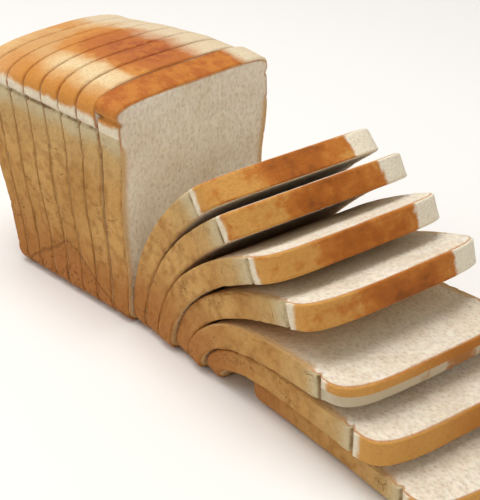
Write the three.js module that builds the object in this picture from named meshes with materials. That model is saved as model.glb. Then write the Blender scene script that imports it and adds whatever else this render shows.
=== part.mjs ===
// A sliced white tin loaf. Its rear half still stands as a block, and the rest has tipped forward
// like a hand of cards: four slices lean and sag, two lie flatter, and the front heel is at the bottom.
// +X runs along the loaf from the rear heel to the front, and +Z is up from the surface it rests on.
import * as THREE from 'three';

// Driving dimensions, in millimetres and degrees.

// The outline of a slice: walls shaped by the tin, and the crust that rose above its rim.
const WALL_WIDTH = 118;          // across the walls at the rim of the tin
const TIN_TAPER = 4;             // how much narrower the walls are just above the base
const LOAF_HEIGHT = 147;         // from the base to the top of the crown
const RIM_HEIGHT = 121;          // where the walls end and the risen crust starts
const CREASE_DEPTH = 1.8;        // how far the torn shred line goes in at the rim
const CREASE_HEIGHT = 6;         // how tall the shred band is
const CROWN_OVERHANG = 0.8;      // how far the risen crust stands out past the walls on each side
const BASE_CORNER_RADIUS = 9;
const REAR_SHOULDER = 2.3;       // squareness of the crown at the rear of the loaf: 2 is an ellipse
const FRONT_SHOULDER = 2.9;      // and at its front

// The slices.
const SLICE_THICKNESS = 15.2;
const SLICE_GAP = 0.4;           // clearance between neighbours
const STANDING_SLICES = 7;
const HEEL_THICKNESS = 16.6;
const HEEL_EDGE = 8;             // how far the baked edge of a heel rounds over
const BLOCK_LEAN = 5;            // how far back the top of the block's front leans from the parted slice
const BLOCK_SPLAY = 0.12;        // share of its thickness a block slice loses at its foot and gains on top

// The fan that has tipped forward. Each slice is upright at its foot, eases over to its lean, and
// rests on the slice in front. Room is the space in front of its foot beyond the usual clearance,
// and aside is how far it has slid across the loaf.
const FAN = [
  { name: 'leaning_slice_1', lean: 20, room: 1, aside: 1 },
  { name: 'leaning_slice_2', lean: 25, room: 0.8, aside: 1 },
  { name: 'leaning_slice_3', lean: 19, room: 0.8, aside: 0 },
  { name: 'leaning_slice_4', lean: 15, room: 0.6, aside: 3 },
  { name: 'fallen_slice_1', lean: 2, room: 1.6, aside: 1 },
  { name: 'fallen_slice_2', lean: 1, room: 22, aside: 3 },
  { name: 'front_heel', lean: 0, room: 0, aside: 8 },
];
const FAN_TURN = -6.4;           // how far the fan has swung round the vertical
const FOOT_SQUASH = 0.2;         // share of the thickness that a foot loses under the slice's weight
const SQUASH_HEIGHT = 34;        // the height over which that fades

const STANDING_CRUST = '#b98b53';
const FAN_CRUST = '#b87f42';

// Fineness of the solids.
const CORNER_STEPS = 4;
const WALL_STEPS = 14;
const CROWN_STEPS = 8;
const CROWN_END = 84;            // the crown closes with a short flat at this angle
const HEEL_LAYERS = 6;

const radians = THREE.MathUtils.degToRad;

// Half widths up one side of a slice, from the edge of its flat base to the top of its crown.
function outlineRows(shoulder) {
  const rows = [];
  const baseHalf = (WALL_WIDTH - TIN_TAPER) / 2;
  const wallHalf = WALL_WIDTH / 2;
  for (let step = 0; step < CORNER_STEPS; step += 1) {
    const angle = radians(-90 + 90 * step / CORNER_STEPS);
    const half = baseHalf + BASE_CORNER_RADIUS * (Math.cos(angle) - 1);
    rows.push({ half, height: BASE_CORNER_RADIUS * (1 + Math.sin(angle)) });
  }
  const wallTop = RIM_HEIGHT - CREASE_HEIGHT / 2;
  for (let step = 0; step <= WALL_STEPS; step += 1) {
    const share = step / WALL_STEPS;
    rows.push({
      half: THREE.MathUtils.lerp(baseHalf, wallHalf, share),
      height: THREE.MathUtils.lerp(BASE_CORNER_RADIUS, wallTop, share),
    });
  }
  rows.push({ half: wallHalf - CREASE_DEPTH, height: RIM_HEIGHT });
  const crownStart = RIM_HEIGHT + CREASE_HEIGHT / 2;
  for (let step = 0; step <= CROWN_STEPS; step += 1) {
    const angle = radians(CROWN_END * step / CROWN_STEPS);
    rows.push({
      half: (wallHalf + CROWN_OVERHANG) * Math.cos(angle) ** (2 / shoulder),
      height: crownStart + (LOAF_HEIGHT - crownStart) * Math.sin(angle) ** (2 / shoulder),
    });
  }
  return rows;
}

// The layers of a slice from its front face to its rear face. Inset is how far a layer's outline is
// drawn in, which rounds the baked side of a heel.
function plainLayers() {
  return [{ depth: 0, inset: 0 }, { depth: SLICE_THICKNESS, inset: 0 }];
}

function heelLayers(crustAtFront) {
  const layers = [{ depth: HEEL_THICKNESS, inset: 0 }];
  for (let step = 0; step < HEEL_LAYERS; step += 1) {
    const angle = radians(90 * step / (HEEL_LAYERS - 1));
    layers.push({
      depth: HEEL_EDGE * (1 - Math.sin(angle)),
      inset: HEEL_EDGE * (1 - Math.cos(angle)),
    });
  }
  if (!crustAtFront) {
    return layers.map(({ depth, inset }) => ({ depth: HEEL_THICKNESS - depth, inset }));
  }
  return layers.reverse();
}

// The side view of a slice. At each row it gives the place of the front face, the steepness there and
// how full the thickness is. A slice with a lean is upright and squashed at its foot, and eases over
// to its lean over the length sag.
function sideView(rows, { foot = 0, lean = 90, sag = 0, squash = 0 }) {
  const steepness = (height) => radians(sag > 0 ? lean + (90 - lean) * Math.exp(-height / sag) : lean);
  let x = foot;
  let z = 0;
  let height = 0;
  return rows.map((row) => {
    const rise = row.height - height;
    const middle = steepness(height + rise / 2);
    x += rise * Math.cos(middle);
    z += rise * Math.sin(middle);
    height = row.height;
    const full = 1 - squash * Math.exp(-((height / SQUASH_HEIGHT) ** 2));
    return { x, z, angle: steepness(height), full };
  });
}

// A point at some depth behind the front face, square to the slice.
function behind(spot, depth) {
  const reach = depth * spot.full;
  return { x: spot.x - reach * Math.sin(spot.angle), z: spot.z + reach * Math.cos(spot.angle) };
}

// The closed solid of a slice: each row has a left and a right end, and each end has every layer.
function sliceGeometry(rows, side, layers) {
  const positions = [];
  const middleHeight = LOAF_HEIGHT / 2;
  rows.forEach((row, index) => {
    for (const hand of [-1, 1]) {
      for (const { depth, inset } of layers) {
        const spot = behind(side[index], depth);
        const shrink = inset * (row.height - middleHeight) / middleHeight;
        const half = row.half * (1 - inset / (WALL_WIDTH / 2));
        positions.push(
          spot.x - shrink * Math.cos(side[index].angle),
          hand * half,
          spot.z - shrink * Math.sin(side[index].angle),
        );
      }
    }
  });
  const count = layers.length;
  const at = (row, hand, layer) => (row * 2 + hand) * count + layer;
  const triangles = [];
  const quad = (a, b, c, d) => triangles.push(a, b, c, a, c, d);
  const top = rows.length - 1;
  for (let row = 0; row < top; row += 1) {
    quad(at(row, 0, 0), at(row, 1, 0), at(row + 1, 1, 0), at(row + 1, 0, 0));
    quad(at(row, 1, count - 1), at(row, 0, count - 1), at(row + 1, 0, count - 1), at(row + 1, 1, count - 1));
    for (let layer = 0; layer < count - 1; layer += 1) {
      quad(at(row, 1, layer), at(row, 1, layer + 1), at(row + 1, 1, layer + 1), at(row + 1, 1, layer));
      quad(at(row, 0, layer + 1), at(row, 0, layer), at(row + 1, 0, layer), at(row + 1, 0, layer + 1));
    }
  }
  for (let layer = 0; layer < count - 1; layer += 1) {
    quad(at(0, 0, layer), at(0, 0, layer + 1), at(0, 1, layer + 1), at(0, 1, layer));
    quad(at(top, 0, layer), at(top, 1, layer), at(top, 1, layer + 1), at(top, 0, layer + 1));
  }
  const geometry = new THREE.BufferGeometry();
  geometry.setAttribute('position', new THREE.Float32BufferAttribute(positions, 3));
  geometry.setIndex(triangles);
  geometry.computeVertexNormals();
  return geometry;
}

// How far a point lies clear of one face of a slice, seen from the side. The face is at the given
// depth, and outward is -1 on the front side of the slice and 1 on its rear side.
function clearOf(point, side, depth, outward) {
  let nearest = Infinity;
  let clear = 0;
  for (let row = 1; row < side.length; row += 1) {
    const start = behind(side[row - 1], depth);
    const end = behind(side[row], depth);
    const along = { x: end.x - start.x, z: end.z - start.z };
    const length = Math.hypot(along.x, along.z);
    const reach = ((point.x - start.x) * along.x + (point.z - start.z) * along.z) / length ** 2;
    const share = THREE.MathUtils.clamp(reach, 0, 1);
    const off = { x: point.x - start.x - share * along.x, z: point.z - start.z - share * along.z };
    const distance = Math.hypot(off.x, off.z);
    if (distance < nearest) {
      nearest = distance;
      const beside = (off.z * along.x - off.x * along.z) * outward;
      const pastEnd = (row === 1 && reach < 0) || (row === side.length - 1 && reach > 1);
      clear = pastEnd ? distance : Math.sign(beside) * distance;
    }
  }
  return clear;
}

// The least clearance between a slice seen from the side and the slice in front of it.
function clearance(side, front) {
  const overFront = front.side.map((spot) => clearOf(behind(spot, front.thickness), side, 0, -1));
  const underSelf = side.map((spot) => clearOf(spot, front.side, front.thickness, 1));
  return Math.min(...overFront, ...underSelf);
}

// The side view of a slice that rests on the one in front: the tightest sag that keeps clear of it,
// found by halving.
function restingSide(rows, lean, front) {
  let loose = LOAF_HEIGHT * 10;
  let tight = 0;
  for (let halving = 0; halving < 24; halving += 1) {
    const sag = (loose + tight) / 2;
    if (clearance(sideView(rows, { lean, sag, squash: FOOT_SQUASH }), front) >= SLICE_GAP) {
      loose = sag;
    } else {
      tight = sag;
    }
  }
  return sideView(rows, { lean, sag: loose, squash: FOOT_SQUASH });
}

const loaf = new THREE.Group();

function addSlice(name, rows, side, layers, colour, { turn = 0, x = 0, y = 0 } = {}) {
  const material = new THREE.MeshStandardMaterial({ color: colour, roughness: 0.85, metalness: 0 });
  const slice = new THREE.Mesh(sliceGeometry(rows, side, layers), material);
  slice.name = name;
  slice.position.set(x, y, 0);
  slice.rotation.z = turn;
  loaf.add(slice);
}

// The outline's shoulders are rounder at the rear of the loaf.
function rowsAt(place) {
  const share = Math.min(1, place / STANDING_SLICES);
  return outlineRows(THREE.MathUtils.lerp(REAR_SHOULDER, FRONT_SHOULDER, share));
}

// The side view of a standing slice. It is upright but for its front face, which slopes back to the
// top, and it is thinner at its foot by the splay and thicker at its top.
function standingSide(rows, foot, back, splay) {
  return rows.map((row) => {
    const share = row.height / LOAF_HEIGHT;
    return { x: foot - back * share, z: row.height, angle: radians(90), full: 1 + splay * (2 * share - 1) };
  });
}

// Each slice of the block slopes back further than the one in front, by what that one gains in
// thickness. The front standing slice has parted from them and is plain upright.
const slopeStep = 2 * BLOCK_SPLAY * SLICE_THICKNESS;
let blockFront = 0;
for (let place = 0; place <= STANDING_SLICES; place += 1) {
  const heel = place === 0;
  const parted = place === STANDING_SLICES;
  const splay = parted ? 0 : BLOCK_SPLAY;
  const back = parted ? 0 : BLOCK_LEAN + (STANDING_SLICES - 1 - place) * slopeStep;
  blockFront += heel ? HEEL_THICKNESS * (1 - splay) : SLICE_GAP + SLICE_THICKNESS * (1 - splay);
  const side = standingSide(rowsAt(place), blockFront, back, splay);
  const layers = heel ? heelLayers(false) : plainLayers();
  addSlice(heel ? 'rear_heel' : `standing_slice_${place}`, rowsAt(place), side, layers, STANDING_CRUST);
}

// The side views of the fan, found from the heel at its front backwards. Step is how far a slice's
// foot stands behind the one in front.
const fanRows = rowsAt(STANDING_SLICES);
const footThickness = SLICE_THICKNESS * (1 - FOOT_SQUASH);
const heelStance = FAN[FAN.length - 1];
let front = { side: sideView(fanRows, heelStance), thickness: HEEL_THICKNESS };
const fan = [{ ...heelStance, ...front, step: 0, layers: heelLayers(true) }];
for (let place = FAN.length - 2; place >= 0; place -= 1) {
  const stance = FAN[place];
  const step = SLICE_GAP + stance.room + (fan.length > 1 ? footThickness : 0);
  const frontSide = front.side.map((spot) => ({ ...spot, x: spot.x + step }));
  const side = restingSide(fanRows, stance.lean, { ...front, side: frontSide });
  front = { side, thickness: SLICE_THICKNESS };
  fan.unshift({ ...stance, ...front, step, layers: plainLayers() });
}

// The fan in its place. The near corner of its rear foot keeps off the block, and each foot stands
// one step further on, the way the slices face.
const turn = radians(FAN_TURN);
const nearCorner = (WALL_WIDTH - TIN_TAPER) / 2 * Math.abs(Math.sin(turn));
let footX = blockFront + SLICE_GAP + footThickness + nearCorner;
let footY = 0;
for (const slice of fan) {
  const x = footX - slice.aside * Math.sin(turn);
  const y = footY + slice.aside * Math.cos(turn);
  addSlice(slice.name, fanRows, slice.side, slice.layers, FAN_CRUST, { turn, x, y });
  footX += slice.step * Math.cos(turn);
  footY += slice.step * Math.sin(turn);
}

// The origin is the middle of the loaf's footprint, on the surface it rests on.
const bounds = new THREE.Box3().setFromObject(loaf, true);
const middle = bounds.getCenter(new THREE.Vector3());
loaf.position.set(-middle.x, -middle.y, -bounds.min.z);

export default loaf;
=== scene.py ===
import math

import bpy
import numpy as np
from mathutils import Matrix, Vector


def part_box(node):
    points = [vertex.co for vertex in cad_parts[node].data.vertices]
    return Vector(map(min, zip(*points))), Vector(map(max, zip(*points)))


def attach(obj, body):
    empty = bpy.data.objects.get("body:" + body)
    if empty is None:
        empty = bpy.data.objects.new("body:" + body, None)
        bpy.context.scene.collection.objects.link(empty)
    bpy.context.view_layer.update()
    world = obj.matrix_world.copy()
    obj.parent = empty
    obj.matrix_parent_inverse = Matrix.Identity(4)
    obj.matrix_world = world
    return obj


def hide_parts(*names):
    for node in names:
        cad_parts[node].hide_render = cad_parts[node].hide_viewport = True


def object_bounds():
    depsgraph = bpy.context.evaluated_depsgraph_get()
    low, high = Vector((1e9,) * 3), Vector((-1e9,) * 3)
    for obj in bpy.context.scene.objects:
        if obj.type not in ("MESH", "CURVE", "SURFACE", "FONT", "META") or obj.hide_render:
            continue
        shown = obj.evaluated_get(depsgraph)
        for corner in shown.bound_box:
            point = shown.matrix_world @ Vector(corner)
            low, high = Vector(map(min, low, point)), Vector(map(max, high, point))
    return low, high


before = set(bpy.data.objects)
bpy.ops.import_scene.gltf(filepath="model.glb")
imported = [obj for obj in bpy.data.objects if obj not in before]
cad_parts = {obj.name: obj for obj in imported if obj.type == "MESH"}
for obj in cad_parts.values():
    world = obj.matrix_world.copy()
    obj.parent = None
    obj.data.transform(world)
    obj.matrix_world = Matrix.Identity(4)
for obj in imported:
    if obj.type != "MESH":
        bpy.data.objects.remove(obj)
cad_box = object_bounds()
scene = bpy.context.scene
scene.view_settings.view_transform = "Standard"

# The camera, on the near side of the loaf and above it, placed from the foot of the cut face of the
# standing block.
CAMERA_FROM_FACE = (0.5243, -0.4709, 0.4221)
CAMERA_AZIMUTH = 46.0
CAMERA_ELEVATION = 29.15
CAMERA_LENS = 99.0

face_low, face_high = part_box("standing_slice_7")
face_foot = Vector((face_high.x, (face_low.y + face_high.y) / 2, 0.0))
camera = bpy.data.objects.new("camera", bpy.data.cameras.new("camera"))
camera.data.sensor_fit = "HORIZONTAL"
camera.data.sensor_width = 36.0
camera.data.lens = CAMERA_LENS
camera.location = face_foot + Vector(CAMERA_FROM_FACE)
camera.rotation_euler = (math.radians(90 - CAMERA_ELEVATION), 0.0, math.radians(CAMERA_AZIMUTH))
scene.collection.objects.link(camera)
scene.camera = camera

# The surface it stands on, plain and pale, and soft light: most of it from overhead, a little from
# the rear left, and less from low in front, so that the cut face of the block is in half shade.
FLOOR_SIZE = 8.0
middle = (cad_box[0] + cad_box[1]) / 2


class Wire:
    """A socket that takes part in sums like a number. Each operation adds a Math node."""

    def __init__(self, tree, socket):
        self.tree = tree
        self.socket = socket

    def maths(self, operation, *values):
        node = self.tree.nodes.new("ShaderNodeMath")
        node.operation = operation
        for slot, value in zip(node.inputs, values):
            join(self.tree, value, slot)
        return Wire(self.tree, node.outputs[0])

    def __add__(self, other):
        return self.maths("ADD", self, other)

    __radd__ = __add__

    def __sub__(self, other):
        return self.maths("SUBTRACT", self, other)

    def __rsub__(self, other):
        return self.maths("SUBTRACT", other, self)

    def __mul__(self, other):
        return self.maths("MULTIPLY", self, other)

    __rmul__ = __mul__

    def __truediv__(self, other):
        return self.maths("DIVIDE", self, other)

    def size(self):
        return self.maths("ABSOLUTE", self)


def join(tree, value, slot):
    """Links a wire to a socket, or sets the socket to a plain value."""
    if isinstance(value, Wire):
        tree.links.new(value.socket, slot)
    else:
        slot.default_value = value


def make(tree, kind, settings=None, inputs=None, output=0):
    """Adds a node: its settings first, then the values or wires of its sockets."""
    node = tree.nodes.new(kind)
    for name, value in (settings or {}).items():
        setattr(node, name, value)
    for name, value in (inputs or {}).items():
        join(tree, value, node.inputs[name])
    return Wire(tree, node.outputs[output])


def tint(code):
    """The linear colour of a hex code."""
    parts = [int(code[i:i + 2], 16) / 255 for i in (1, 3, 5)]
    return [p / 12.92 if p <= 0.04045 else ((p + 0.055) / 1.055) ** 2.4 for p in parts] + [1.0]


floor_mesh = bpy.data.meshes.new("floor")
half = FLOOR_SIZE / 2
corners = ((-half, -half), (half, -half), (half, half), (-half, half))
floor_mesh.from_pydata([(middle.x + a, middle.y + b, 0.0) for a, b in corners], [], [(0, 1, 2, 3)])
floor = bpy.data.objects.new("floor", floor_mesh)
scene.collection.objects.link(floor)
floor_look = bpy.data.materials.new("pale_surface")
floor_look.use_nodes = True
floor_shader = floor_look.node_tree.nodes["Principled BSDF"]
floor_shader.inputs["Base Color"].default_value = tint("#f4f2ef")
floor_shader.inputs["Roughness"].default_value = 0.9
floor_mesh.materials.append(floor_look)

world = bpy.data.worlds.new("studio")
scene.world = world
world.use_nodes = True
world.node_tree.nodes["Background"].inputs["Color"].default_value = (1.0, 0.97, 0.92, 1.0)
world.node_tree.nodes["Background"].inputs["Strength"].default_value = 0.42

for name, offset, width, power in (
        ("overhead", (-0.25, -0.1, 1.5), 1.1, 19.0),
        ("rear_left", (-1.2, -1.0, 1.1), 0.9, 6.0),
        ("front_low", (1.1, -0.25, 0.3), 0.7, 1.2)):
    lamp = bpy.data.lights.new(name, "AREA")
    lamp.shape = "SQUARE"
    lamp.size = width
    lamp.energy = power
    light = bpy.data.objects.new(name, lamp)
    light.location = middle + Vector(offset)
    light.rotation_euler = (-Vector(offset)).to_track_quat("-Z", "Y").to_euler()
    scene.collection.objects.link(light)

# The loaf as it left the tin: straight walls with small corners at the base, a torn shred line at
# the rim, and a crown that rose above it. One crust runs over the whole loaf, so every slice keeps a
# record of where it was baked, and the crust's colours are laid out along the loaf.
SLICE = 0.0152
HEEL = 0.0166
HEEL_EDGE = 0.008
WALL_HALF = 0.059
BASE_HALF = 0.057
BASE_CORNER = 0.009
WALL_HOLLOW = 0.0008            # how far the walls draw in half way up
CROWN_HALF = 0.0598
CROWN_TOP = 0.1465
RIM = 0.121
CUT_EDGE = 0.0013               # how far the cut edges of the crust are rounded
TORN_HIGHER = 0.009             # how much higher the shred line tore on the parted slice
CREASE = ((0.0586, -0.0012), (0.0577, -0.0004), (0.0572, 0.0), (0.0577, 0.0005), (0.0585, 0.0014),
          (0.0594, 0.0024))     # half width and height of the shred line's points, from its middle
CREASE_BELOW = 0.0022           # where the wall ends and the crown starts, from the shred line
CREASE_ABOVE = 0.003
CREASE_CLOSENESS = 2.0          # how much closer the outline's points stand at the shred line
FAR_SHOULDER = (2.8, 1.8)       # squareness at the rear heel, and how much it grows to the front
NEAR_SHOULDER = (2.3, 1.3)
OUTLINE_POINTS = 384
EXPOSED_RINGS = 52
HIDDEN_RINGS = 14
STANDING = 7
FANNED = ("leaning_slice_1", "leaning_slice_2", "leaning_slice_3", "leaning_slice_4",
          "fallen_slice_1", "fallen_slice_2")
BLOCK_LENGTH = HEEL + STANDING * SLICE
CENTRE_HEIGHT = CROWN_TOP / 2
# How far the crown lies below its highest part, at distances from the back of the rear heel.
CROWN_DIPS_AT = (HEEL, 0.05, 0.085, 0.1078, BLOCK_LENGTH, BLOCK_LENGTH + SLICE)
CROWN_DIPS = (0.0075, 0.0025, 0, 0.0015, 0.0048, 0)
FAR_FROM_CRUST = 0.02
SQUASH_HEIGHT = 0.034           # how far up a bent slice its foot is squashed


def half_outline(shoulder, rim, top, creased):
    """One side of the outline, from the middle of the base to the top of the crown."""
    quarter = np.linspace(0, math.pi / 2, 12)
    corner = np.stack([BASE_HALF - BASE_CORNER + BASE_CORNER * np.sin(quarter),
                       BASE_CORNER * (1 - np.cos(quarter))], 1)
    share = np.linspace(0, 1, 24)[1:]
    hollow = WALL_HOLLOW * np.sin(math.pi * share)
    wall = np.stack([BASE_HALF + (WALL_HALF - BASE_HALF) * share - hollow,
                     BASE_CORNER + (rim - CREASE_BELOW - BASE_CORNER) * share], 1)
    crease = np.array(CREASE) + (0, rim)
    crown_start = rim + CREASE_ABOVE
    angle = np.linspace(0, math.pi / 2, 90)
    crown = np.stack([CROWN_HALF * np.cos(angle) ** (2 / shoulder),
                      crown_start + (top - crown_start) * np.sin(angle) ** (2 / shoulder)], 1)
    base = np.stack([np.linspace(0, BASE_HALF - BASE_CORNER, 12)[:-1], np.zeros(11)], 1)
    return np.concatenate([base, corner, wall, *([crease] if creased else []), crown])


def outline(along, rim=RIM, creased=True):
    """The outline at a distance along the loaf: evenly spaced points, but closer at the shred line.
    The shoulders are rounder at the rear, and rounder on the near side. Uncreased, it is the smooth
    outline that the rings inside a cut face settle to."""
    share = min(1.0, along / BLOCK_LENGTH)
    top = CROWN_TOP - np.interp(along, CROWN_DIPS_AT, CROWN_DIPS)
    far = half_outline(FAR_SHOULDER[0] + FAR_SHOULDER[1] * share, rim, top, creased)
    near = half_outline(NEAR_SHOULDER[0] + NEAR_SHOULDER[1] * share, rim, top, creased)
    loop = np.concatenate([far, near[-2::-1] * (-1, 1)])
    step = np.hypot(*np.diff(loop, axis=0).T)
    weight = 1 + CREASE_CLOSENESS * creased * np.exp(-((loop[1:, 1] - rim) / 0.003) ** 2)
    length = np.concatenate([[0], np.cumsum(step * weight)])
    at = np.linspace(0, length[-1], OUTLINE_POINTS, endpoint=False)
    return np.stack([np.interp(at, length, loop[:, 0]), np.interp(at, length, loop[:, 1])], 1)


def plain_layers():
    """(depth behind the front face, how far the outline is drawn in) through a slice."""
    depths = SLICE * (1 - np.cos(np.linspace(0, math.pi, 13))) / 2
    near = np.minimum(depths, SLICE - depths)
    inset = CUT_EDGE * (1 - np.sqrt(1 - np.clip(1 - near / CUT_EDGE, 0, 1) ** 2))
    return np.stack([depths, inset], 1)


def heel_layers(crust_in_front):
    """The same through a heel, whose baked side is rounded over."""
    angle = np.linspace(math.pi / 2, 0, 10)
    rounded = np.stack([HEEL_EDGE * (1 - np.sin(angle)), HEEL_EDGE * (1 - np.cos(angle))], 1)
    rest = np.array([(0.0105, 0), (0.013, 0), (0.0151, 0), (0.0162, 0.0003), (HEEL, CUT_EDGE)])
    layers = np.concatenate([rounded, rest])
    return layers if crust_in_front else np.stack([HEEL - layers[::-1, 0], layers[::-1, 1]], 1)


def sweep(rise, foot, lean=90.0, sag=0.0, squash=0.0):
    """The side view of a slice at each height: place of its front face, its angle, how full it is."""
    if sag > 0:
        angle = np.radians(lean + (90 - lean) * np.exp(-rise / sag))
    else:
        angle = np.radians(np.full_like(rise, lean))
    step = np.diff(rise, prepend=0.0)
    half_way = np.radians(lean + (90 - lean) * np.exp(-(rise - step / 2) / sag)) if sag > 0 else angle
    x = foot + np.cumsum(step * np.cos(half_way))
    z = np.cumsum(step * np.sin(half_way))
    return x, z, angle, 1 - squash * np.exp(-(rise / SQUASH_HEIGHT) ** 2)


def bend(across, height, depth, view, rise):
    """Bends upright points of a slice to its side view."""
    x, z, angle, full = (np.interp(height, rise, values) for values in view)
    reach = depth * full
    return np.stack([x - reach * np.sin(angle), across, z + reach * np.cos(angle)], 1)


def rim_distance(points, edge):
    """How far each point of a cut face is from the outline."""
    along_edge = np.roll(edge, -1, 0) - edge
    from_start = points[:, None] - edge[None]
    share = np.clip((from_start * along_edge).sum(2) / (along_edge ** 2).sum(1), 0, 1)
    return np.linalg.norm(from_start - share[..., None] * along_edge, axis=2).min(1)


LIP_RAMP = 0.004                # over what height above the shred line a torn lip sets in
LIP_DEPTH = 0.52                # the share of the thickness that has torn back from a lip
SETTLED = 0.35                  # how far in the rings of a face are evenly spaced
NEAR_CRUST = 0.7                # the rings beyond this share of the outline measure its distance


def slice_mesh(name, along, layers, rings, sides, shape, rim_height=RIM, lip=0.0):
    """A closed slice. Its edge is the outline carried through the layers, and each face is filled
    with rings that shrink to its middle. Rings and sides are (front, rear) pairs: how many rings,
    and whether that face is crust. Shape moves the upright points to their place. Lip is how far the
    front half of the crown is torn back from the rear half."""
    count = OUTLINE_POINTS
    centre = np.array([0.0, CENTRE_HEIGHT])
    thickness = layers[:, 0].max()
    torn = []

    def drawn_in(layer, creased):
        edge = outline(along - layer[0], rim_height, creased)
        return (edge - centre) * (1 - layer[1] / WALL_HALF) + centre

    def ring(layer):
        points = drawn_in(layer, True)
        above = np.clip((points[:, 1] - rim_height) / LIP_RAMP, 0, 1)
        above = above * (layer[0] < LIP_DEPTH * thickness)
        torn.append(above if lip else np.zeros(count))
        return points - (points - centre) * (above * lip / WALL_HALF)[:, None]

    across, height, depth, rim = [], [], [], []
    for layer in layers:
        points = ring(layer)
        across.append(points[:, 0])
        height.append(points[:, 1])
        depth.append(np.full(count, layer[0]))
        rim.append(np.zeros(count))
    faces, crust_faces = [], []
    turn = np.arange(count)
    after = (turn + 1) % count
    for level in range(len(layers) - 1):
        a, b = level * count, (level + 1) * count
        faces.append(np.stack([a + turn, b + turn, b + after, a + after], 1))
        crust_faces.append(np.ones(count, bool))
    total = len(layers) * count
    triangles = []
    for end, layer in ((0, layers[0]), (1, layers[-1])):
        outer = ring(layer)
        even = drawn_in(layer, False)
        before = 0 if end == 0 else (len(layers) - 1) * count
        for step in range(1, rings[end]):
            share = 1 - (step / rings[end])
            settle = min(1.0, (1 - share) / SETTLED)
            points = centre + ((outer - centre) * (1 - settle) + (even - centre) * settle) * share
            across.append(points[:, 0])
            height.append(points[:, 1])
            depth.append(np.full(count, layer[0]))
            is_near = share > NEAR_CRUST
            rim.append(rim_distance(points, outer) if is_near else np.full(count, FAR_FROM_CRUST))
            here = total
            total += count
            quad = [before + turn, before + after, here + after, here + turn]
            faces.append(np.stack(quad if end == 0 else quad[::-1], 1))
            crust_faces.append(np.full(count, sides[end]))
            before = here
        across.append([0.0])
        height.append([CENTRE_HEIGHT])
        depth.append([layer[0]])
        rim.append([FAR_FROM_CRUST])
        tip = np.full(count, total)
        total += 1
        triangle = [before + turn, before + after, tip]
        triangles.append((np.stack(triangle if end == 0 else triangle[::-1], 1), sides[end]))
    across, height, depth, rim = (np.concatenate(v) for v in (across, height, depth, rim))
    points = shape(across, height, depth)
    polygons = np.concatenate(faces).tolist()
    crust = np.concatenate(crust_faces).tolist()
    for fan_faces, is_crust in triangles:
        polygons += fan_faces.tolist()
        crust += [is_crust] * len(fan_faces)
    mesh = bpy.data.meshes.new(name)
    mesh.from_pydata(points.tolist(), [], polygons)
    baked = mesh.attributes.new("baked", "FLOAT_VECTOR", "POINT")
    baked.data.foreach_set("vector", np.stack([along - depth, across, height], 1).ravel())
    mesh.attributes.new("rim", "FLOAT", "POINT").data.foreach_set("value", rim)
    side_torn = np.concatenate([*torn[:len(layers)], np.zeros(total - len(layers) * count)])
    mesh.attributes.new("torn", "FLOAT", "POINT").data.foreach_set("value", side_torn)
    mesh.attributes.new("crust", "FLOAT", "FACE").data.foreach_set("value", np.array(crust, float))
    mesh.polygons.foreach_set("use_smooth", np.ones(len(polygons), bool))
    return mesh


def pattern(tree, where, size, detail=2.0, stretch=(1, 1, 1), seed=0.0, kind="NOISE", roughness=0.55):
    """Noise or cells of a size in metres, laid out in the loaf as it was baked."""
    moved = make(tree, "ShaderNodeVectorMath", {"operation": "MULTIPLY_ADD"},
                 {0: where, 1: stretch, 2: (seed, seed * 0.7, -seed)})
    if kind == "CELLS":
        return make(tree, "ShaderNodeTexVoronoi", {"feature": "F1"},
                    {"Vector": moved, "Scale": 1 / size})
    return make(tree, "ShaderNodeTexNoise", {"noise_dimensions": "3D"},
                {"Vector": moved, "Scale": 1 / size, "Detail": detail, "Roughness": roughness})


def between(tree, value, low, high):
    """0 below low and 1 above high, smooth between. Low may be above high."""
    return make(tree, "ShaderNodeMapRange", {"interpolation_type": "SMOOTHSTEP"},
                {"Value": value, "From Min": low, "From Max": high})


def blend(tree, share, first, second):
    """A colour that goes from first to second."""
    node = tree.nodes.new("ShaderNodeMix")
    node.data_type = "RGBA"
    for slot, value in ((0, share), (6, first), (7, second)):
        join(tree, tint(value) if isinstance(value, str) else value, node.inputs[slot])
    return Wire(tree, node.outputs[2])


def bread_look(name):
    """A material with its shader, the baked place of a point, and that place's three parts."""
    look = bpy.data.materials.new(name)
    look.use_nodes = True
    tree = look.node_tree
    where = make(tree, "ShaderNodeAttribute", {"attribute_name": "baked"}, output=1)
    split = tree.nodes.new("ShaderNodeSeparateXYZ")
    join(tree, where, split.inputs[0])
    return look, tree, tree.nodes["Principled BSDF"], where, [Wire(tree, s) for s in split.outputs]


# Crust: tan walls where the tin was, paler up to the grey-cream shred line, and a crown that goes
# from golden at its shoulder to orange-brown on top, and stays pale along its far shoulder.
HEARTH_MIDDLE = (0.080, 0.003)  # the brownest part of the block's crown: along the loaf, across it
HEARTH_REACH = (0.048, 0.036)
PALE_SIDE = (0.012, 0.034)      # where the far shoulder turns pale: on the block,
PALE_STRIP = (0.036, 0.044)     # on the parted slice
PALE_END = (0.0345, 0.0375)     # and in the fan
CREAM_BAND = (0.1265, 0.1300)   # the band above the shred line that didn't brown
SKIRT_HEIGHT = 0.036            # how high the base crust climbs up the walls, in a pitted skirt
SKIRT_PEAK = 0.066              # where along the loaf it climbs highest
SKIRT_SLOPE = 0.62

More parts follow.
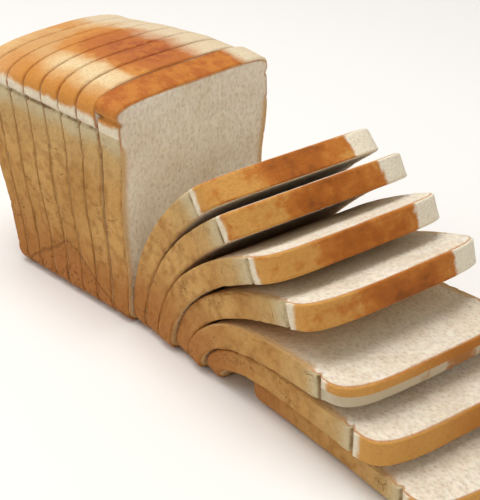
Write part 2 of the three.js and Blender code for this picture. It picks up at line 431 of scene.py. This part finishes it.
crust_look, tree, shader, where, (along, across, height) = bread_look("crust")
broad = pattern(tree, where, 0.05, 2)
patch = pattern(tree, where, 0.018, 3, seed=3.1)
mottle = pattern(tree, where, 0.006, 3, seed=5.3)
grain = pattern(tree, where, 0.0015, 3, seed=1.7)
wavy = height + (patch - 0.5) * 0.014
wall = blend(tree, between(tree, broad, 0.35, 0.65), "#d0a261", "#c08f4f")
wall = blend(tree, between(tree, mottle, 0.42, 0.70) * 0.6, wall, "#a06c34")
wall = blend(tree, between(tree, wavy, 0.055, 0.012) * 0.75, wall, "#a9682f")
wall = blend(tree, between(tree, wavy, 0.082, 0.110) * 0.55, wall, "#ccae76")
wall = blend(tree, between(tree, wavy, 0.106, 0.119) * 0.8, wall, "#cdc09c")
skirt_top = SKIRT_HEIGHT - (along - SKIRT_PEAK).size() * SKIRT_SLOPE + (patch - 0.5) * 0.010
skirt = between(tree, skirt_top - height, -0.0004, 0.0012)
skirt_edge = between(tree, (skirt_top - height).size(), 0.0018, 0.0003)
pits = pattern(tree, where, 0.0032, kind="CELLS")
pitted = between(tree, pits, 0.34, 0.12) * (skirt + between(tree, wavy, 0.02, 0.01) * 0.5)
wall = blend(tree, skirt * 0.45, wall, "#b0703a")
# Painted shade: dark brown in the middle of each pit, where shade falls into it, laid over the
# skirt's own darker crust.
wall = blend(tree, pitted * 0.65, wall, "#7d4a20")
cracks = pattern(tree, where, 0.011, 2, stretch=(0.7, 0.7, 1.5), seed=12.0)
rare = between(tree, pattern(tree, where, 0.024, 1, seed=15.0), 0.54, 0.62)
crack = between(tree, (cracks - 0.5).size(), 0.012, 0.002) * rare
# Painted shade: a dark brown line down the cracks and along the top edge of the skirt, where these
# grooves hold shade. The bump below also cuts them in.
painted_groove_shade = crack + skirt_edge
wall = blend(tree, painted_groove_shade.maths("MINIMUM", painted_groove_shade, 1.0) * 0.6, wall, "#80501f")
crown_share = between(tree, height, RIM - 0.0004, RIM + 0.0006)
front_part = between(tree, along, BLOCK_LENGTH, BLOCK_LENGTH + 0.0004)
loose = across + (patch - 0.5) * 0.020
from_middle = (along - HEARTH_MIDDLE[0]) / HEARTH_REACH[0]
to_side = (loose - HEARTH_MIDDLE[1]) / HEARTH_REACH[1]
blotch = pattern(tree, where, 0.03, 2, seed=21.0)
hearth = from_middle * from_middle + to_side * to_side + (mottle - 0.5) * 0.7
block = blend(tree, between(tree, broad, 0.35, 0.65), "#dfb57c", "#d09c60")
block = blend(tree, between(tree, blotch, 0.52, 0.62) * 0.6, block, "#cf8a44")
block = blend(tree, between(tree, hearth, 1.35, 0.85), block, "#cf8a40")
block = blend(tree, between(tree, hearth, 0.85, 0.45), block, "#bb6c2e")
darkest = between(tree, hearth, 0.4, 0.15) * between(tree, mottle, 0.4, 0.6)
block = blend(tree, darkest, block, "#a9582c")
golden = between(tree, height + (patch - 0.5) * 0.006, 0.1425, 0.1365)
golden = golden * between(tree, across, -0.02, -0.035) * between(tree, along, 0.02, 0.05)
block = blend(tree, golden * 0.95, block, "#cb8636")
streak = between(tree, (along - 0.084).size(), 0.040, 0.015)
streak = streak * between(tree, (loose + 0.036).size(), 0.012, 0.004)
block = blend(tree, streak * 0.75, block, "#ead5a8")
pale = between(tree, across + (patch - 0.5) * 0.028, *PALE_SIDE)
block = blend(tree, pale * 0.9, block, "#dfceae")
last = between(tree, along, 0.1076, 0.1080) * (1 - front_part)
strip = blend(tree, between(tree, mottle, 0.35, 0.65), "#c57b30", "#b26122")
strip = blend(tree, between(tree, across + (patch - 0.5) * 0.01, *PALE_STRIP), strip, "#dfceae")
block = blend(tree, last * between(tree, height, 0.132, 0.135), block, strip)
streaks = pattern(tree, where, 0.009, 3, stretch=(1, 0.35, 1), seed=31.0)
burnt = between(tree, loose, -0.045, -0.012) * 0.55 + (broad - 0.5) * 0.9
burnt = burnt + (mottle - 0.5) * 0.9 + (patch - 0.5) * 0.6
burnt = burnt - between(tree, loose, 0.012, 0.034) * 0.4 + (streaks - 0.5) * 1.1 - 0.04
fan = blend(tree, between(tree, burnt, -0.1, 0.25), "#cf964a", "#be7228")
fan = blend(tree, between(tree, burnt, 0.2, 0.6), fan, "#ab5e18")
fan = blend(tree, between(tree, burnt, 0.55, 1.0), fan, "#8a480f")
ends = between(tree, along + (patch - 0.5) * 0.002, 0.1830, 0.1850)
light_end = blend(tree, between(tree, loose, -0.03, 0.02), "#cf984c", "#b57226")
fan = blend(tree, ends * 0.8, fan, light_end)
pale = between(tree, across + (mottle - 0.5) * 0.008, *PALE_END)
fan = blend(tree, pale * 0.93, fan, "#f0e8d2")
crown = blend(tree, front_part, block, fan)
lip_height = height + (patch - 0.5) * 0.008 + (mottle - 0.5) * 0.004
crown = blend(tree, between(tree, lip_height, *CREAM_BAND[::-1]) * 0.9, crown, "#ebe1c8")
colour = blend(tree, crown_share, wall, crown)
# Painted shade: a thin dark brown line in the crease of the shred line, where shade falls, broken
# into patches.
painted_notch_shade = between(tree, (height - RIM - last * TORN_HIGHER).size(), 0.0012, 0.0002)
patchy = between(tree, pattern(tree, where, 0.015, 2, seed=41.0), 0.38, 0.58)
colour = blend(tree, painted_notch_shade * patchy * 0.75, colour, "#7b5730")
colour = blend(tree, between(tree, grain, 0.35, 0.75) * 0.2, colour, "#8a5a2c")
torn = make(tree, "ShaderNodeAttribute", {"attribute_name": "torn"}, output=2)
torn_colour = blend(tree, between(tree, patch + across * 4, 0.48, 0.62), "#cbbda2", "#ad7642")
colour = blend(tree, torn * 0.92, colour, torn_colour)
join(tree, colour, shader.inputs["Base Color"])
shader.inputs["Specular IOR Level"].default_value = 0.25
join(tree, 0.82 - crown_share * 0.2 + grain * 0.1, shader.inputs["Roughness"])
wrinkles = pattern(tree, where, 0.004, 3, stretch=(1, 1, 0.25), seed=8.0)
relief = wrinkles * (1 - crown_share) * 1.1 + mottle * 0.6 + grain * 0.6
relief = relief - (pitted * 0.6 + crack * 0.7 + skirt_edge * 0.7) * (1 - crown_share)
bump = make(tree, "ShaderNodeBump", None, {"Strength": 0.6, "Distance": 0.0016, "Height": relief})
join(tree, bump, shader.inputs["Normal"])

# Crumb: a soft off-white sponge of fine pores, a little drawn out up the loaf, with a thin tan line
# where it meets the crust.
crumb_look, tree, shader, where, (along, across, height) = bread_look("crumb")
rim = make(tree, "ShaderNodeAttribute", {"attribute_name": "rim"}, output=2)
tall = (1, 1, 0.62)
cells = pattern(tree, where, 0.0019, kind="CELLS", stretch=tall)
sponge = pattern(tree, where, 0.0021, 4, stretch=tall, seed=2.0, roughness=0.8)
cloud = pattern(tree, where, 0.022, 2, seed=6.0)
holes = pattern(tree, where, 0.0038, kind="CELLS", stretch=tall, seed=4.0)
pore = between(tree, sponge + cells * 0.3, 0.74, 0.38)
few = between(tree, pattern(tree, where, 0.012, 1, seed=9.0), 0.5, 0.65)
large = between(tree, holes, 0.2, 0.08) * few
colour = blend(tree, between(tree, cloud, 0.35, 0.7), "#f3e8d5", "#ecddc6")
# Painted shade: a warm darker tan on the crumb low down in the fanned slices, standing in for the
# warm shade in the crevices between them.
painted_crevice_shade = between(tree, along, BLOCK_LENGTH + 0.0006, BLOCK_LENGTH + 0.001)
painted_crevice_shade = painted_crevice_shade * between(tree, height, 0.120, 0.070)
colour = blend(tree, painted_crevice_shade * 0.7, colour, "#cd9c5e")
# Painted shade: the pores and the larger holes are darkened where shade falls into them. The bump
# below also sinks them.
colour = blend(tree, pore * 0.36, colour, "#b5966a")
colour = blend(tree, large * 0.3, colour, "#9c7c52")
on_wall = between(tree, height, 0.118, 0.112)
reach = 0.0012 + on_wall * 0.0034 + (cloud - 0.5) * 0.002
colour = blend(tree, between(tree, rim / reach, 1.35, 0.2) * 0.85, colour,
               blend(tree, on_wall, "#bd7c3c", "#d0a467"))
join(tree, colour, shader.inputs["Base Color"])
shader.inputs["Roughness"].default_value = 0.95
shader.inputs["Specular IOR Level"].default_value = 0.2
shader.inputs["Subsurface Weight"].default_value = 0.2
shader.inputs["Subsurface Radius"].default_value = (1.0, 0.55, 0.25)
shader.inputs["Subsurface Scale"].default_value = 0.004
relief = sponge * 0.8 + cells * 0.6 - pore * 0.5 - large * 0.8
bump = make(tree, "ShaderNodeBump", None, {"Strength": 0.6, "Distance": 0.0014, "Height": relief})
join(tree, bump, shader.inputs["Normal"])

# The relief that baking and the knife leave on every slice: lumps and blisters over the crown,
# wrinkles down the walls, and a drag over the cut faces. It only ever takes material away.
relief_tree = bpy.data.node_groups.new("bread_relief", "GeometryNodeTree")
sockets = {}
for side in ("INPUT", "OUTPUT"):
    relief_tree.interface.new_socket("Bread", in_out=side, socket_type="NodeSocketGeometry")
for label, start in (("Lump Depth", 0.0016), ("Wrinkle Depth", 0.0016), ("Drag Depth", 0.0003),
                     ("Seed", 0.0)):
    item = relief_tree.interface.new_socket(label, in_out="INPUT", socket_type="NodeSocketFloat")
    sockets[label] = item.identifier
    item.default_value = start
entry = relief_tree.nodes.new("NodeGroupInput")
given = {s.name: Wire(relief_tree, s) for s in entry.outputs if s.name}
named = "GeometryNodeInputNamedAttribute"
baked = make(relief_tree, named, {"data_type": "FLOAT_VECTOR"}, {"Name": "baked"})
edge_share = make(relief_tree, named, {"data_type": "FLOAT"}, {"Name": "crust"})
point_height = Wire(relief_tree, relief_tree.nodes.new("ShaderNodeSeparateXYZ").outputs[2])
join(relief_tree, baked, point_height.socket.node.inputs[0])
nudge = make(relief_tree, "ShaderNodeVectorMath", {"operation": "ADD"}, {0: baked, 1: given["Seed"]})
high = between(relief_tree, point_height, RIM + 0.001, RIM + 0.01)
lumps = pattern(relief_tree, baked, 0.03, 1) * 0.7
lumps = lumps + pattern(relief_tree, baked, 0.009, 2, seed=2.0) * 0.3
folds = pattern(relief_tree, baked, 0.012, 2, stretch=(1, 1, 0.45), seed=9.0)
creases = between(relief_tree, (folds - 0.5).size(), 0.035, 0.0)
shift = pattern(relief_tree, nudge, 0.007, 2)
wrinkled = (folds * 0.6 + creases * 0.5) * given["Wrinkle Depth"]
depth = high * lumps * given["Lump Depth"] + (1 - high) * wrinkled
depth = depth * edge_share + (1 - edge_share) * shift * given["Drag Depth"]
facing = Wire(relief_tree, relief_tree.nodes.new("GeometryNodeInputNormal").outputs[0])
offset = make(relief_tree, "ShaderNodeVectorMath", {"operation": "SCALE"},
              {0: facing, "Scale": depth * -1})
moved = make(relief_tree, "GeometryNodeSetPosition", None,
             {"Geometry": given["Bread"], "Offset": offset})
joined = make(relief_tree, "GeometryNodeRealizeInstances", None, {"Geometry": moved})
is_crust = make(relief_tree, "FunctionNodeCompare",
                {"data_type": "FLOAT", "operation": "GREATER_THAN"}, {0: edge_share, 1: 0.5})
with_crumb = make(relief_tree, "GeometryNodeSetMaterial", None,
                  {"Geometry": joined, "Material": crumb_look})
finished = make(relief_tree, "GeometryNodeSetMaterial", None,
                {"Geometry": with_crumb, "Selection": is_crust, "Material": crust_look})
leave = relief_tree.nodes.new("NodeGroupOutput")
join(relief_tree, finished, leave.inputs[0])


def finish_slice(mesh, node, seed):
    """Runs the relief on a slice and makes it the piece that stands for its solid."""
    raw = bpy.data.objects.new(node + "_raw", mesh)
    scene.collection.objects.link(raw)
    modifier = raw.modifiers.new("relief", "NODES")
    modifier.node_group = relief_tree
    modifier[sockets["Seed"]] = float(seed)
    evaluated = raw.evaluated_get(bpy.context.evaluated_depsgraph_get())
    solid = bpy.data.meshes.new_from_object(evaluated)
    bpy.data.objects.remove(raw)
    piece = bpy.data.objects.new(node + "_bread", solid)
    scene.collection.objects.link(piece)
    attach(piece, "root")
    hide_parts(node)


# The standing block: the rear heel with the tin's crust on its back, then seven slices. All but the
# last still stand together, leaning back a little, thinner at their feet and fuller at their tops.
BLOCK_SPLAY = 0.12
CUT_WAVE = 0.0018               # how far the cuts wander from flat
PARTED_SWELL = 0.28             # how much fuller the parted slice is at its top
rise = np.linspace(0, CROWN_TOP, 300)


def standing(node, thickness, splay, swell):
    """Moves the points of a standing slice to its place, with the slight wave the cuts have."""
    low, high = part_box(node)
    back = high.x - low.x - thickness * (1 + splay)

    def shape(across, height, depth):
        share = height / CROWN_TOP
        reach = depth * (1 + splay * (2 * share - 1) + swell * share ** 2)
        swing = CUT_WAVE * np.sin(math.pi * share) * np.sin(3.2 * math.pi * share)
        x = high.x - back * share - reach + swing
        return np.stack([x, across + (low.y + high.y) / 2, height], 1)

    return shape


shape = standing("rear_heel", HEEL, BLOCK_SPLAY, 0)
mesh = slice_mesh("rear_heel", HEEL, heel_layers(False), (HIDDEN_RINGS, EXPOSED_RINGS), (False, True),
                  shape)
finish_slice(mesh, "rear_heel", 0)
for place in range(1, STANDING + 1):
    node = f"standing_slice_{place}"
    front = HEEL + place * SLICE
    parted = place == STANDING
    shape = standing(node, SLICE, 0 if parted else BLOCK_SPLAY, PARTED_SWELL if parted else 0)
    behind_parting = place == STANDING - 1
    rings = (EXPOSED_RINGS if parted else HIDDEN_RINGS,
             EXPOSED_RINGS if behind_parting else HIDDEN_RINGS)
    rim = RIM + (TORN_HIGHER if parted else 0)
    mesh = slice_mesh(node, front, plain_layers(), rings, (False, False), shape, rim)
    finish_slice(mesh, node, place)

# The fan: six slices that stand on their squashed feet, fold over and rest on the next, and the
# front heel under them, flat on its crust.
FAN_TURN = math.radians(-6.4)
FOOT_SQUASH = 0.2
LEANS = (20, 25, 19, 15, 2, 1)
TORN_LIP = 0.0032               # how far the lower half of one crown has torn back from its lip


def placed(node, view, thickness):
    """Bends the points of a fanned slice, turns them and sets them in its solid's box."""
    cosine, sine = math.cos(FAN_TURN), math.sin(FAN_TURN)
    turn = np.array([[cosine, -sine], [sine, cosine]])
    low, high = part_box(node)
    edge = outline(BLOCK_LENGTH + SLICE)
    corners = np.concatenate([bend(edge[:, 0], edge[:, 1], np.full(len(edge), d), view, rise)
                              for d in (0, thickness / 2, thickness)])
    flat = corners[:, :2] @ turn.T
    move = (np.array([low.x + high.x, low.y + high.y]) - flat.min(0) - flat.max(0)) / 2

    def shape(across, height, depth):
        points = bend(across, height, depth, view, rise)
        points[:, :2] = points[:, :2] @ turn.T + move
        return points

    return shape


def sag_to(top, lean):
    """The sag that brings a slice with this lean to the height of its solid."""
    loose, tight = 2.0, 0.0005
    for _ in range(40):
        sag = (loose + tight) / 2
        _, z, angle, full = sweep(rise, 0.0, lean, sag, FOOT_SQUASH)
        if max(z + SLICE * full * np.cos(angle)) > top:
            loose = sag
        else:
            tight = sag
    return loose


for index, (node, lean) in enumerate(zip(FANNED, LEANS)):
    front = BLOCK_LENGTH + (index + 1) * SLICE
    view = sweep(rise, 0.0, lean, sag_to(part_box(node)[1].z, lean), FOOT_SQUASH)
    shape = placed(node, view, SLICE)
    lip = TORN_LIP if node == "fallen_slice_1" else 0.0
    mesh = slice_mesh(node, front, plain_layers(), (HIDDEN_RINGS, EXPOSED_RINGS), (False, False),
                      shape, RIM, lip)
    finish_slice(mesh, node, 20 + index)

front = BLOCK_LENGTH + len(FANNED) * SLICE + HEEL
shape = placed("front_heel", sweep(rise, 0.0, 0.0), HEEL)
mesh = slice_mesh("front_heel", front, heel_layers(True), (EXPOSED_RINGS, EXPOSED_RINGS),
                  (True, False), shape)
finish_slice(mesh, "front_heel", 40)
